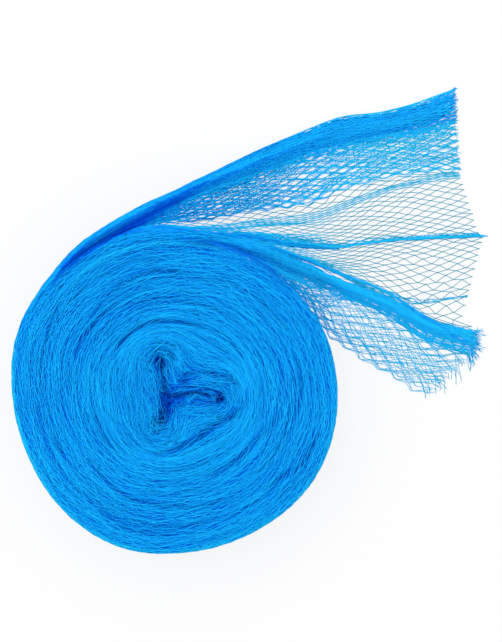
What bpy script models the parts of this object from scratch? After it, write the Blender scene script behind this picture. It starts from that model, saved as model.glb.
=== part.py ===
"""A roll of knotless bird netting that lies on its flat end, with the loose end fanned out beside it.

Run it with blender --background --python part.py, or from Blender's text editor. Units are metres and +Z
is up. The roll's axis is Z, its bottom face lies on z = 0, and the loose end lies on the same surface.
"""

import math
from collections import namedtuple

import bmesh
import bpy
import numpy as np

MM = 0.001

# The roll
ROLL_HEIGHT = 0.115
BOTTOM_ROUND = (0.007, 0.006)  # how far the bottom edge is drawn in, and how high it starts
BOTTOM_ROUND_MIDDLE = 0.3
WALL_BULGE = 0.0006
SHOULDER = (0.018, 0.015)  # width and drop of the rounded top edge
SHOULDER_RINGS = (0, 0.04, 0.15, 0.36, 0.65, 1.0)  # where its rings lie, as shares of its width
TURN_THICKNESS = 0.014
GROOVE_DEPTH = 0.0045
COLUMNS_ROUND = 60
RINGS = 38
CLOSED_RINGS = 0.7  # the share of the radius inside which a ring closes on itself

# The three-armed hollow that the first turns close round
HOLLOW_HUB = (-0.0075, -0.0055)
HOLLOW_DEPTH = 0.052
HOLLOW_HALF_WIDTH = 0.0042
HOLLOW_MIDDLE_HALF_WIDTH = 0.0036
HOLLOW_FLOOR_HALF_WIDTH = 0.0026
LIP_DROP = 0.009
LIP_DROP_RADIUS = 0.3  # the share of the radius within which the top sinks towards the lip
ROUND_OFF = 1.5  # how soon, moving out, the turns lose the hollow's three arms

Arm = namedtuple("Arm", "direction length")
HOLLOW_ARMS = (
    Arm(99.5, 32 * MM),
    Arm(-1.5, 46 * MM),
    Arm(-102, 23 * MM),
)
# The arm along +X bows towards +Y: how far, about which point and over what lengths
BOW = 0.0045
BOW_CENTRE = (0.015, -0.005)
BOW_REACH = (0.015, 0.016)

# The roll's outline, clockwise from the step where the outer turn leaves it: direction in degrees, radius
Outline = namedtuple("Outline", "direction radius")
ROLL_OUTLINE = (
    Outline(148, 136.0 * MM),
    Outline(115, 134.0 * MM),
    Outline(80, 133.0 * MM),
    Outline(57, 136.0 * MM),
    Outline(42, 138.5 * MM),
    Outline(22, 143.5 * MM),
    Outline(3, 145.4 * MM),
    Outline(-34, 148.0 * MM),
    Outline(-63, 145.3 * MM),
    Outline(-85, 145.8 * MM),
    Outline(-111, 149.2 * MM),
    Outline(-135, 147.0 * MM),
    Outline(-156, 144.7 * MM),
    Outline(-180, 146.4 * MM),
    Outline(-200, 150.5 * MM),
    Outline(-208, 150.5 * MM),
)
# The rounded top edge fades out between these directions, where the loose end comes to lie beside the roll
EDGE_FADES = (74.6, 94.4)

# The loose end: sections from the roll to the cut end, in millimetres. Each runs from the outer edge to the
# inner one, which is given by its direction from the roll's axis and its distance clear of the roll's wall.
# Then come the heights of the top surface, from the outer edge to the inner one.
Section = namedtuple(
    "Section",
    "outer_x outer_y inner_direction inner_clear "
    "edge upper_band net outer_foot crease inner_foot lower_band inner_edge",
)
SECTIONS = (
    Section(-133.0, 72.6, 147.4, 1.2, 100, 107, 108, 109, 110, 110, 111, 111),
    Section(-93, 126, 127, 1.2, 90, 102, 94, 94, 98, 100, 108, 111),
    Section(-43, 162, 106, 1.2, 68, 86, 78, 86, 96, 98, 107, 110),
    Section(2.5, 186, 82, 1.2, 41, 57, 48, 78, 96, 101, 106, 108),
    Section(62.5, 217, 55, 1.6, 16, 27, 16, 42, 53, 60, 74, 76),
    Section(122, 243.5, 24, 2.4, 6, 13, 3, 9, 12, 9, 21, 14),
    Section(155, 255.5, 12.8, 14, 4.5, 11, 2, 3, 5, 3, 11, 3),
    Section(202, 262, 5, 43.5, 4, 9, 2, 2, 4, 2, 9, 2.5),
    Section(261, 281.5, -3.9, 88, 3.5, 8, 2, 2, 4, 2, 8, 2),
)

# The folds that run along the loose end: where each crosses it at these places, as a share of the way from
# the outer edge to the inner one, and how far it reaches past the cut end's straight line
FOLD_PLACES = (0, 1, 2, 3, 4, 5, 6, 7, 7.5, 8)
Fold = namedtuple("Fold", "name shares reach")
Knot = namedtuple("Knot", "share height reach")
FOLDS = (
    Fold("upper band", (0.92, 0.50, 0.43, 0.25, 0.205, 0.134, 0.131, 0.102, 0.108, 0.107), 4 * MM),
    Fold("half open net", (0.945, 0.54, 0.52, 0.61, 0.50, 0.38, 0.32, 0.26, 0.255, 0.265), 13 * MM),
    Fold("crease", (0.96, 0.585, 0.585, 0.805, 0.745, 0.60, 0.561, 0.502, 0.484, 0.467), 45 * MM),
    Fold("lower band", (0.975, 0.66, 0.68, 0.85, 0.799, 0.687, 0.676, 0.714, 0.762, 0.77), 45 * MM),
    Fold("lower net", (0.99, 0.92, 0.93, 0.96, 0.95, 0.80, 0.78, 0.812, 0.86, 0.855), 43 * MM),
)
REACH_STARTS = 6  # the section where the folds begin to reach forward
CREASE_HALF_WIDTH = 0.003
BEFORE_BAND = 0.9  # how far from the crease towards the lower band the open net still lies low
# How far the open net at the cut end draws back beside the crease and before the lower band
CUT_END_PULLED_IN = 0.008
LOWER_CUT_PULLED_IN = 0.017
# How high the surface is where a band meets the net beside it, as a share of the band's rise above the net
UPPER_BAND_FOOT = 0.25
LOWER_BAND_TOP = 0.15
LOWER_BAND_FOOT = 0.5
STEPS_A_SECTION = 5
STEPS_BETWEEN_FOLDS = (2, 2, 2, 3, 1, 1, 2, 1, 2, 2, 3)

NETTING_BLUE = (0.010, 0.290, 0.800, 1.0)
LOOSE_NETTING_BLUE = (0.060, 0.420, 0.800, 1.0)


def clear_scene():
    for item in list(bpy.data.objects):
        bpy.data.objects.remove(item, do_unlink=True)


def curve_through(places, values):
    """The smooth curve that takes each value at its place, as a function of the place."""
    places = np.asarray(places, float)
    values = np.asarray(values, float)
    slopes = np.gradient(values, places, axis=0)

    def read(at):
        i = int(np.clip(np.searchsorted(places, at) - 1, 0, len(places) - 2))
        width = places[i + 1] - places[i]
        t = (at - places[i]) / width
        ahead = t * t * (3 - 2 * t)
        leaving = t * (1 - t) ** 2 * width * slopes[i]
        arriving = t * t * (1 - t) * width * slopes[i + 1]
        return values[i] + (values[i + 1] - values[i]) * ahead + leaving - arriving

    return read


def eased(t):
    return (1 - math.cos(math.pi * t)) / 2


def polar(radius, degrees, centre=(0, 0)):
    turn = math.radians(degrees)
    return np.array((centre[0] + radius * math.cos(turn), centre[1] + radius * math.sin(turn)))


# The curve is read along clockwise travel, because its places have to rise.
outline_at = curve_through([-row.direction for row in ROLL_OUTLINE], [row.radius for row in ROLL_OUTLINE])


def roll_radius(direction):
    return float(outline_at(-direction))


def hollow_radius(direction, half_width):
    """How far from the hub a ray leaves the band of this half width round the hollow's three arms."""
    exits = []
    for arm in HOLLOW_ARMS:
        off = math.radians(direction - arm.direction)
        along, across = math.cos(off), abs(math.sin(off))
        if along <= 0:
            exits.append(half_width)
        elif half_width * along <= arm.length * across:
            exits.append(half_width / across)
        else:
            exits.append(arm.length * along + math.sqrt(half_width**2 - (arm.length * across) ** 2))
    return max(exits)


def travelled(direction):
    """How much of the way round lies behind it, clockwise from the step."""
    first, last = ROLL_OUTLINE[0].direction, ROLL_OUTLINE[-1].direction
    return (first - direction) / (first - last)


def ring_radius(direction, share):
    """A ring's distance from the axis: inner rings close on themselves, and outer ones widen."""
    widening = TURN_THICKNESS * travelled(direction)
    closed = share * (roll_radius(direction) - widening)
    return closed + widening * eased(max(0.0, (share - CLOSED_RINGS) / (1 - CLOSED_RINGS)))


def bowed(plan):
    """The point of the plan with the arm along +X bowed."""
    off = (plan - BOW_CENTRE) / BOW_REACH
    return plan + (0, BOW * math.exp(-float(off @ off)))


def ring_point(direction, share):
    """A point of the plan, from the hollow's lip at share 0 to the roll's outline at share 1."""
    radius = ring_radius(direction, share)
    armed = polar(hollow_radius(direction, HOLLOW_HALF_WIDTH + radius), direction, HOLLOW_HUB)
    outwards = eased(min(1.0, ROUND_OFF * share))
    return bowed(armed * (1 - outwards) + polar(radius, direction) * outwards)


def edge_left(direction):
    """How much of the rounded top edge is left: none where the loose end lies beside the roll."""
    starts, ends = EDGE_FADES
    return 1 - eased(min(1.0, max(0.0, (direction - starts) / (ends - starts))))


def top_height(direction, share):
    inward = roll_radius(direction) - ring_radius(direction, share)
    height = ROLL_HEIGHT
    if inward < SHOULDER[0]:
        rise = 1 - inward / SHOULDER[0]
        height -= SHOULDER[1] * (1 - math.sqrt(1 - rise * rise)) * edge_left(direction)
    else:
        groove = (1 + math.cos(2 * math.pi * inward / TURN_THICKNESS)) / 2
        height -= GROOVE_DEPTH * groove
    return height - LIP_DROP * max(0.0, 1 - share / LIP_DROP_RADIUS) ** 2


def shoulder_shares():
    """Rings close together over the rounded edge, as shares of the roll's mean radius."""
    radius = sum(row.radius for row in ROLL_OUTLINE) / len(ROLL_OUTLINE)
    return [1 - SHOULDER[0] / radius * part for part in SHOULDER_RINGS]


def roll_loops():
    """Closed loops of points, from the bottom face out, up the wall, over the top and down the hollow."""
    first, last = ROLL_OUTLINE[0].direction, ROLL_OUTLINE[-1].direction
    directions = np.linspace(first, last, COLUMNS_ROUND)

    def wall_loop(outwards, z):
        return [(*polar(roll_radius(d) + outwards, d), z) for d in directions]

    def hollow_loop(half_width, z):
        return [(*bowed(polar(hollow_radius(d, half_width), d, HOLLOW_HUB)), z) for d in directions]

    drawn_in, start = BOTTOM_ROUND
    wall_top = ROLL_HEIGHT - SHOULDER[1]
    loops = [
        wall_loop(-drawn_in, 0),
        wall_loop(-BOTTOM_ROUND_MIDDLE * drawn_in, BOTTOM_ROUND_MIDDLE * start),
        wall_loop(0, start),
        wall_loop(WALL_BULGE, (start + wall_top) / 2),
    ]
    shares = shoulder_shares()
    shares += list(np.linspace(shares[-1], 0, RINGS + 1))[1:]
    for share in shares:
        loops.append([(*ring_point(d, share), top_height(d, share)) for d in directions])
    lip = ROLL_HEIGHT - LIP_DROP - GROOVE_DEPTH
    floor = ROLL_HEIGHT - HOLLOW_DEPTH
    loops.append(hollow_loop(HOLLOW_MIDDLE_HALF_WIDTH, (lip + floor) / 2))
    loops.append(hollow_loop(HOLLOW_FLOOR_HALF_WIDTH, floor))
    return loops


def fold_knots(row, share, reach, width):
    """Where the section bends: each knot's share of the width, its height and how far forward it reaches."""
    crease = share["crease"]
    room = min(crease - share["half open net"], share["lower band"] - crease) / 2
    lane = min(CREASE_HALF_WIDTH / width, room)
    before_band = crease + BEFORE_BAND * (share["lower band"] - crease)
    upper_rise = row.upper_band - row.net
    lower_rise = row.lower_band - row.inner_foot
    inner_rise = row.inner_edge - row.inner_foot
    return (
        Knot(0, row.edge, 0),
        Knot(share["upper band"] / 2, row.upper_band, reach["upper band"] / 2),
        Knot(share["upper band"], row.net + UPPER_BAND_FOOT * upper_rise, reach["upper band"]),
        Knot(share["half open net"], row.net, reach["half open net"]),
        Knot(crease - lane, row.outer_foot, reach["crease"] - CUT_END_PULLED_IN),
        Knot(crease, row.crease, reach["crease"]),
        Knot(crease + lane, row.inner_foot, reach["crease"] - CUT_END_PULLED_IN / 2),
        Knot(before_band, row.inner_foot, reach["lower band"] - LOWER_CUT_PULLED_IN),
        Knot(share["lower band"], row.inner_foot + LOWER_BAND_TOP * lower_rise, reach["lower band"]),
        Knot((share["lower band"] + share["lower net"]) / 2, row.lower_band, reach["lower band"]),
        Knot(share["lower net"], row.inner_foot + LOWER_BAND_FOOT * inner_rise, reach["lower net"]),
        Knot(1, row.inner_edge, 0),
    )


def crossing(place):
    """The points of the top surface across the loose end, at a place counted in sections from the roll."""
    numbers = range(len(SECTIONS))
    row = Section(*curve_through(numbers, SECTIONS)(place))
    outer = np.array((row.outer_x, row.outer_y)) * MM
    inner_radius = roll_radius(row.inner_direction) + row.inner_clear * MM
    across = polar(inner_radius, row.inner_direction) - outer
    share = {fold.name: float(curve_through(FOLD_PLACES, fold.shares)(place)) for fold in FOLDS}
    reach = {fold.name: fold.reach for fold in FOLDS}
    knots = fold_knots(row, share, reach, np.linalg.norm(across))
    forward = max(0.0, (place - REACH_STARTS) / (len(SECTIONS) - 1 - REACH_STARTS)) ** 2
    points = []
    for knot, following, steps in zip(knots, knots[1:], STEPS_BETWEEN_FOLDS):
        for step in range(steps):
            t = step / steps
            x, y = outer + across * (knot.share + (following.share - knot.share) * t)
            x += forward * (knot.reach + (following.reach - knot.reach) * t)
            points.append((x, y, MM * (knot.height + (following.height - knot.height) * eased(t))))
    points.append((*(outer + across), MM * row.inner_edge))
    return points


def netting_material(name, colour):
    material = bpy.data.materials.new(name)
    material.use_nodes = True
    shader = material.node_tree.nodes["Principled BSDF"]
    shader.inputs["Base Color"].default_value = colour
    shader.inputs["Roughness"].default_value = 0.5
    shader.inputs["Metallic"].default_value = 0.0
    material.diffuse_color = colour
    return material


def finished(name, mesh_data, material, parent):
    bmesh.ops.recalc_face_normals(mesh_data, faces=mesh_data.faces)
    mesh = bpy.data.meshes.new(name)
    mesh_data.to_mesh(mesh)
    mesh_data.free()
    mesh.shade_smooth()
    mesh.set_sharp_from_angle(angle=math.radians(50))
    piece = bpy.data.objects.new(name, mesh)
    piece.data.materials.append(material)
    piece.parent = parent
    bpy.context.scene.collection.objects.link(piece)
    return piece


def skin(mesh_data, rows, closed):
    """Quads between neighbouring rows of vertices. It joins each row's ends if the rows are closed."""
    for row, following in zip(rows, rows[1:]):
        count = len(row)
        for i in range(count if closed else count - 1):
            j = (i + 1) % count
            mesh_data.faces.new((row[i], row[j], following[j], following[i]))


def make_wound_roll(parent):
    """The wound netting: every turn but the loose one, as one solid with its turns as ridges."""
    mesh_data = bmesh.new()
    rows = [[mesh_data.verts.new(point) for point in loop] for loop in roll_loops()]
    skin(mesh_data, rows, closed=True)
    mesh_data.faces.new(rows[0])
    mesh_data.faces.new(rows[-1])
    return finished("wound_roll", mesh_data, netting_material("netting", NETTING_BLUE), parent)


def make_loose_end(parent):
    """The loose end: as high as the roll where it leaves it, then sinking and spreading into a flat fan."""
    mesh_data = bmesh.new()
    places = np.linspace(0, len(SECTIONS) - 1, (len(SECTIONS) - 1) * STEPS_A_SECTION + 1)
    top = [[mesh_data.verts.new(point) for point in crossing(place)] for place in places]
    skin(mesh_data, top, closed=False)
    rim = top[0] + [row[-1] for row in top[1:]] + top[-1][-2::-1] + [row[0] for row in top[-2:0:-1]]
    foot = [mesh_data.verts.new((vertex.co.x, vertex.co.y, 0)) for vertex in rim]
    skin(mesh_data, [rim, foot], closed=True)
    mesh_data.faces.new(foot)
    material = netting_material("loose_netting", LOOSE_NETTING_BLUE)
    return finished("loose_end", mesh_data, material, parent)


def main():
    clear_scene()
    whole = bpy.data.objects.new("bird_netting_roll", None)
    bpy.context.scene.collection.objects.link(whole)
    make_wound_roll(whole)
    make_loose_end(whole)


main()
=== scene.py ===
"""The looks of the bird netting roll: its wound body, the knotless net wound on it and the fanned loose end.

Lengths are in millimetres until a mesh, a light or the camera is made. Directions are in degrees about the
roll's axis, anticlockwise from +X seen from above.
"""

import math
from collections import namedtuple

import bpy
import numpy as np
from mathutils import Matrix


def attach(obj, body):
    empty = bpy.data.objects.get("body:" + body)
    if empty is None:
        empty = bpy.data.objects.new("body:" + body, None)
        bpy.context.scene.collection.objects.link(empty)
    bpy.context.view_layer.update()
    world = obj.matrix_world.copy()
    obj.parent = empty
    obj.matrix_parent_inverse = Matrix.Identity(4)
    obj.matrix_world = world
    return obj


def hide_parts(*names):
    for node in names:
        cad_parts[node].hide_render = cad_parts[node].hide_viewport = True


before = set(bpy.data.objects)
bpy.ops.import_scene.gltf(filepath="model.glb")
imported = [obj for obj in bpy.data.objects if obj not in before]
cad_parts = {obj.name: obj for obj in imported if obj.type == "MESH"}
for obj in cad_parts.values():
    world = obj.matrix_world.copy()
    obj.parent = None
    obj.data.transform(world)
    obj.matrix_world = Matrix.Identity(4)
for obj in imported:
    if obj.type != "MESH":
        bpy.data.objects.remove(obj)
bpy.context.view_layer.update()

MM = 0.001

# The strands and the mesh they are knitted into
STRAND_RADIUS = 0.28
JOINT_OFFSET = 0.12  # how far from its middle each of the two strands lies in a joint
BAR = 10.0  # the row spacing: how far a strand runs along the net from one joint to the next
# Where a bar is read, as shares of the way from one joint to the next
DENSE_STEPS = (0.12, 0.88)
OPEN_STEPS = (0.0, 0.15, 0.5, 0.85)

# The roll, with the part's sizes
ROLL_HEIGHT = 115.0
TURN_THICKNESS = 14.0
SHOULDER_WIDTH = 18.0
SHOULDER_DROP = 15.0
BOTTOM_ROUND = 6.0
FURROW_DEPTH = 4.5
# Furrows that run along parts of the turns: where across a turn, their half width there, depth and arc length
Furrow = namedtuple("Furrow", "across half_width depth arc")
FURROWS = (Furrow(0.0, 0.10, 1.0, 110), Furrow(0.36, 0.07, 0.7, 70), Furrow(0.68, 0.07, 0.7, 80))
LIP_DROP = 9.0
LIP_DROP_RADIUS = 0.3
ROUND_OFF = 1.7  # how soon the turns get round away from the hollow, a little sooner than the part's
STEP_DIRECTION = 152.0
MEAN_BASE = 137.0  # the mean radius of the turns under the outermost one
# Where, in turns from the step, the rounded edge fades out as the loose end comes to lie beside it
EDGE_FADES = (0.785, 0.84)

Arm = namedtuple("Arm", "direction length")
HOLLOW_ARMS = (Arm(99.5, 32), Arm(-1.5, 46), Arm(-102, 23))
HOLLOW_HUB = (-7.5, -5.5)
HOLLOW_HALF_WIDTH = 4.2
HOLLOW_DEPTH = 52.0
ARMPIT_SHARPNESS = 6.0  # how sharp the corners between the arms are
# The arm along +X bows towards +Y: how far, about which point and over what lengths
BOW = 4.5
BOW_CENTRE = (15.0, -5.0)
BOW_REACH = (15.0, 16.0)
# The netting sinks into the hollow from this far outside its lip to this far inside it
SINK_STARTS = 3.5
SINK_ENDS = -3.6
SINK_DEPTH = 9.0
Pit = namedtuple("Pit", "x y radius depth")
PITS = [Pit(*row) for row in (
    (-13.5, 25.8, 4.0, 15), (40.3, -6.8, 3.5, 17), (27.5, -1.5, 4.5, 8), (15.0, -1.0, 4.0, 5),
    (3.0, -4.0, 4.5, 5), (-7.5, -5.0, 5.5, 9), (-6.0, -13.5, 4.8, 9), (-8.5, -22.5, 4.8, 8),
    (-3.5, -20.0, 4.0, 4), (-10.0, 9.0, 2.5, 5), (9.0, 9.0, 5.0, 5), (17.0, 11.0, 4.5, 4),
)]
# Creases in the top that the photograph shows, each through a few points of the plan
Crease = namedtuple("Crease", "half_width depth points")
CREASES = (
    Crease(1.9, 8.0, ((-50, 38), (-46, 44), (-37, 53), (-22, 61), (-7, 62), (14, 60), (32, 56))),
    Crease(1.4, 5.0, ((-24, 41), (-13, 43), (-2, 41))),
    Crease(2.7, 9.0, (
        (64, -3), (65, -9), (60, -18), (48, -25), (31, -33), (23, -41), (7, -50), (-10, -56), (-26, -55),
    )),
    Crease(1.8, 6.5, ((8, 14), (20, 16), (32, 16), (47, 13), (59, 5))),
    Crease(2.2, 5.0, (
        (-77, -60), (-67, -72), (-58, -82), (-43, -94), (-22, -101), (-4, -103), (20, -102), (38, -99),
        (62, -87),
    )),
    Crease(1.9, 5.0, ((92, -20), (88, -29), (74, -43), (56, -61), (38, -72), (20, -78))),
    Crease(2.2, 4.5, ((-74, 65), (-60, 84), (-45, 95), (-21, 106), (0, 106), (18, 102), (49, 90))),
    Crease(2.0, 3.5, ((109, 31), (113, 0), (106, -30))),
    Crease(2.0, 3.0, ((-101, 81), (-109, 64), (-114, 41))),
    Crease(2.0, 4.0, ((-88, 31), (-82, 46), (-66, 65), (-51, 76))),
    Crease(2.2, 5.0, ((80, -86), (91, -79), (106, -70))),
    Crease(2.2, 5.0, ((105, -76), (116, -60), (128, -41))),
    Crease(2.2, 4.5, ((-109, -41), (-104, -49), (-98, -56))),
    Crease(1.8, 3.5, ((-70, -20), (-66, -36), (-56, -50))),
    Crease(1.8, 3.5, ((-64, 66), (-48, 74), (-27, 80), (0, 83), (24, 79))),
    Crease(3.0, 4.0, ((-84, -86), (-60, -106), (-34, -117), (-10, -121), (20, -118), (46, -108))),
    Crease(2.6, 3.5, ((-66, -110), (-44, -121), (-16, -128), (12, -129))),
)
# Lines along which strands only look darker, and how much: painted shade in the valley between the loose end
# and the roll and along the roll's rim beside the loose end's lower band, and a darker line along that band's
# upper edge
VALLEY = Crease(4.0, 1.2, (
    (-110, 92), (-101, 108), (-87, 119), (-67, 132), (-49, 143.5), (-31.5, 154.5), (-14, 165), (6, 177),
    (28, 190),
))
RIM_LINE = Crease(3.4, 0.85, (
    (10, 134), (27, 132), (52, 126), (76, 114), (102, 95), (122, 74), (134.5, 54), (142, 34),
))
BAND_LINE = Crease(2.4, 0.9, (
    (100, 128), (128, 119), (151, 111), (190, 99), (217, 76), (244, 59), (266, 42), (284, 32),
))
DARK_LINES = (VALLEY, RIM_LINE, BAND_LINE)
CREASE_SAMPLES = 40
CREASE_SHADE = 0.09  # how much painted shade darkens strands for each millimetre that a crease is deep
SUNK_SHADE = 2.4  # how much painted shade darkens them at the bottom of the hollow and over its pits
PIT_SHADE = 14.0  # how deep a pit is that gets painted shade as dark as that

Outline = namedtuple("Outline", "direction radius")
ROLL_OUTLINE = [Outline(*row) for row in (
    (148, 136.0), (115, 134.0), (80, 133.0), (57, 136.0), (42, 138.5), (22, 143.5), (3, 145.4),
    (-34, 148.0), (-63, 145.3), (-85, 145.8), (-111, 149.2), (-135, 147.0), (-156, 144.7), (-180, 146.4),
    (-200, 150.5), (-208, 150.5),
)]

# The loose end's sections, from the roll to the cut end. They are the part's, with one more at the start, so
# that the net comes out of the roll, and with the inner edge nearer to the roll at the sixth and seventh.
Section = namedtuple(
    "Section",
    "outer_x outer_y inner_direction inner_clear "
    "edge upper_band net outer_foot crease inner_foot lower_band inner_edge",
)
SECTIONS = (
    Section(-143.8, 44.0, 160.0, 0.5, 100, 108, 110, 110, 110, 111, 111, 112),
    Section(-133.0, 72.6, 147.4, 1.2, 100, 107, 108, 109, 110, 110, 111, 111),
    Section(-93, 126, 127, 1.2, 90, 102, 94, 94, 98, 100, 108, 111),
    Section(-43, 162, 106, 1.2, 68, 86, 78, 86, 96, 98, 107, 110),
    Section(2.5, 186, 82, 1.2, 41, 57, 48, 78, 96, 101, 106, 108),
    Section(62.5, 217, 55, 0.9, 16, 27, 16, 42, 53, 60, 74, 76),
    Section(122, 243.5, 24, 2.0, 6, 13, 3, 9, 12, 9, 21, 14),
    Section(155, 255.5, 12.8, 14, 4.5, 11, 2, 3, 5, 3, 11, 3),
    Section(202, 262, 5, 43.5, 4, 9, 2, 2, 4, 2, 9, 2.5),
    Section(261, 281.5, -3.9, 88, 3.5, 8, 2, 2, 4, 2, 8, 2),
)
FIRST_PLACE = -1
LAST_PLACE = FIRST_PLACE + len(SECTIONS) - 1

# The lines that run along the loose end. Each has its place across it, as a share of the way from the outer
# edge to the inner one at these places along it, and how far it reaches past the cut end's straight line.
SHARE_PLACES = (-1, 0, 1, 2, 3, 4, 5, 6, 7, 7.5, 8)
Line = namedtuple("Line", "shares reach")
BAND_FOOT = Line((0.90, 0.92, 0.50, 0.43, 0.25, 0.205, 0.134, 0.131, 0.102, 0.108, 0.107), 4)
NET_EDGE = Line((0.93, 0.945, 0.54, 0.52, 0.61, 0.50, 0.38, 0.32, 0.26, 0.255, 0.265), 13)
CREASE = Line((0.95, 0.96, 0.585, 0.585, 0.805, 0.745, 0.60, 0.561, 0.502, 0.484, 0.467), 45)
LOWER_BAND = Line((0.97, 0.975, 0.66, 0.68, 0.85, 0.799, 0.687, 0.676, 0.714, 0.762, 0.77), 45)
LOWER_NET = Line((0.99, 0.99, 0.92, 0.93, 0.96, 0.95, 0.80, 0.78, 0.812, 0.86, 0.855), 43)
REACH_STARTS = 6
# Half the width of the rope of strands on the crease, by place
ROPE_PLACES = (3.4, 4, 5, 5.8, 7, 8)
ROPE_HALF_WIDTHS = (1.0, 3.0, 3.6, 2.2, 1.5, 1.5)
CUT_END_PULLED_IN = 8.0
LOWER_CUT_PULLED_IN = 17.0
UPPER_BAND_FOOT = 0.25
LOWER_BAND_TOP = 0.15
LOWER_BAND_FOOT = 0.5
# Across the loose end a strand's place is a number: 0 at the outer edge, 1 at the upper band's foot, 2 where
# the single net starts, 3 on the crease, 4 to 5 over the lower band and 6 at the inner edge. Below 0 and over
# 6 it hangs down the side.
FOLD_NUMBERS = (0, 0.5, 1, 2, 2.9, 3, 3.1, 3.9, 4, 4.5, 5, 6)

SAMPLES_A_SECTION = 24
STACK = 14.0  # how thick the stack of passes gets where there is room under the surface


# ---------------------------------------------------------------- shapes


def curve_through(places, values):
    """The smooth curve that takes each value at its place, as a function of an array of places."""
    places = np.asarray(places, float)
    values = np.asarray(values, float)
    slopes = np.gradient(values, places, axis=0)

    def read(at):
        at = np.asarray(at, float)
        i = np.clip(np.searchsorted(places, at) - 1, 0, len(places) - 2)
        width = places[i + 1] - places[i]
        t = (at - places[i]) / width
        if values.ndim > 1:
            width, t = width[..., None], t[..., None]
        ahead = t * t * (3 - 2 * t)
        leaving = t * (1 - t) ** 2 * width * slopes[i]
        arriving = t * t * (1 - t) * width * slopes[i + 1]
        return values[i] + (values[i + 1] - values[i]) * ahead + leaving - arriving

    return read


def read_table(table, at):
    """The table's other columns where its first one has these values, read between its rows."""
    first, *others = np.array(table, float).T
    return [np.interp(at, first, column) for column in others]


def clamp(t):
    return np.clip(t, 0, 1)


def eased(t):
    return (1 - np.cos(math.pi * clamp(t))) / 2


def raised(plan, height):
    """Points of the plan at one height, or each at its own."""
    return np.concatenate((plan, (height + 0 * plan[..., 0])[..., None]), axis=-1)


def polar(radius, degrees, centre=(0, 0)):
    turn = np.radians(degrees)
    return np.stack((centre[0] + radius * np.cos(turn), centre[1] + radius * np.sin(turn)), axis=-1)


def unit(vectors):
    return vectors / np.maximum(np.linalg.norm(vectors, axis=-1, keepdims=True), 1e-9)


def beside(along):
    """The level directions to the right of lines that run like this."""
    return np.stack((along[..., 1], -along[..., 0], np.zeros(along.shape[:2])), axis=-1)


def ripple(along, scale, seed, across=0.0):
    """Smooth seeded noise from about -1 to 1, in waves of about this length."""
    draws = np.random.default_rng(seed)
    total = 0.0
    for _ in range(5):
        turn = draws.uniform(0, 2 * math.pi)
        pace = draws.uniform(0.6, 1.7) * 2 * math.pi / scale
        phase = draws.uniform(0, 2 * math.pi)
        total = total + np.sin(pace * (along * math.cos(turn) + across * math.sin(turn)) + phase)
    return total / 2.6


outline_at = curve_through([-row.direction for row in ROLL_OUTLINE], [row.radius for row in ROLL_OUTLINE])
OUTLINE_START = ROLL_OUTLINE[0].direction
OUTLINE_SPAN = ROLL_OUTLINE[0].direction - ROLL_OUTLINE[-1].direction


def turn_share(direction):
    """How much of a turn, anticlockwise, lies between the step and this direction."""
    return ((direction - STEP_DIRECTION) % 360) / 360


def base_radius(direction):
    """The roll's radius without the outermost turn, which thins out clockwise to nothing."""
    travel = (OUTLINE_START - direction) % 360
    on_outline = np.minimum(travel, OUTLINE_SPAN)
    base = outline_at(on_outline - OUTLINE_START) - TURN_THICKNESS * on_outline / OUTLINE_SPAN
    over = (travel - on_outline) / (360 - OUTLINE_SPAN)
    return base + (ROLL_OUTLINE[0].radius - base) * over


def roll_radius(direction):
    return base_radius(direction) + TURN_THICKNESS * (1 - turn_share(direction))


def wound_radius(direction, turns_in):
    """The radius that lies this many turns in from the step's outer edge."""
    return base_radius(direction) * (1 + TURN_THICKNESS * (1 - turns_in) / MEAN_BASE)


def bowed(plan):
    """The plan with the arm along +X bowed."""
    off = (plan - BOW_CENTRE) / BOW_REACH
    push = BOW * np.exp(-(off**2).sum(axis=-1))
    return plan + np.stack((0 * push, push), axis=-1)


def hollow_radius(direction, half_width):
    """How far from the hub a ray leaves the band of this half width round the hollow's three arms."""
    total = 0.0
    for arm in HOLLOW_ARMS:
        off = np.radians(direction - arm.direction)
        along, across = np.cos(off), np.abs(np.sin(off))
        beside = half_width / np.maximum(across, 1e-6)
        beyond = arm.length * along + np.sqrt(np.maximum(half_width**2 - (arm.length * across) ** 2, 0))
        found = np.where(half_width * along <= arm.length * across, beside, beyond)
        total = total + np.where(along <= 0, half_width, found) ** ARMPIT_SHARPNESS
    return total ** (1 / ARMPIT_SHARPNESS)


def roll_plan(direction, radius):
    """A point of the roll's plan: three-armed by the hollow, round further out."""
    armed = polar(hollow_radius(direction, HOLLOW_HALF_WIDTH + radius), direction, HOLLOW_HUB)
    outwards = eased(ROUND_OFF * radius / roll_radius(direction))[..., None]
    return bowed(armed * (1 - outwards) + polar(radius, direction) * outwards)


def furrow(turn, across):
    """How deep a furrow lies at a place on the wound net, from 0 to 1."""
    deepest = np.zeros(np.broadcast(turn, across).shape)
    for i, row in enumerate(FURROWS):
        turns_in = np.round(across - row.across)
        off = across - row.across - turns_in
        strength = clamp(0.15 + 0.75 * ripple((turn + turns_in) * 360, row.arc, 900 + i))
        deepest = np.maximum(deepest, row.depth * strength * np.exp(-((off / row.half_width) ** 2)))
    return deepest


def crease_depth(plan, creases=CREASES, ends=0.5):
    """How deep creases lie at points of the plan. The higher ends is, the sooner they fade."""
    deepest = np.zeros(plan.shape[:-1])
    for row in creases:
        share = np.linspace(0, 1, CREASE_SAMPLES)
        line = curve_through(np.linspace(0, 1, len(row.points)), row.points)(share)
        depth = row.depth * np.sin(math.pi * share) ** ends
        for spot, deep in zip(line, depth):
            off = ((plan - spot) ** 2).sum(axis=-1) / row.half_width**2
            deepest = np.maximum(deepest, deep * np.exp(-off))
    return deepest


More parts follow.
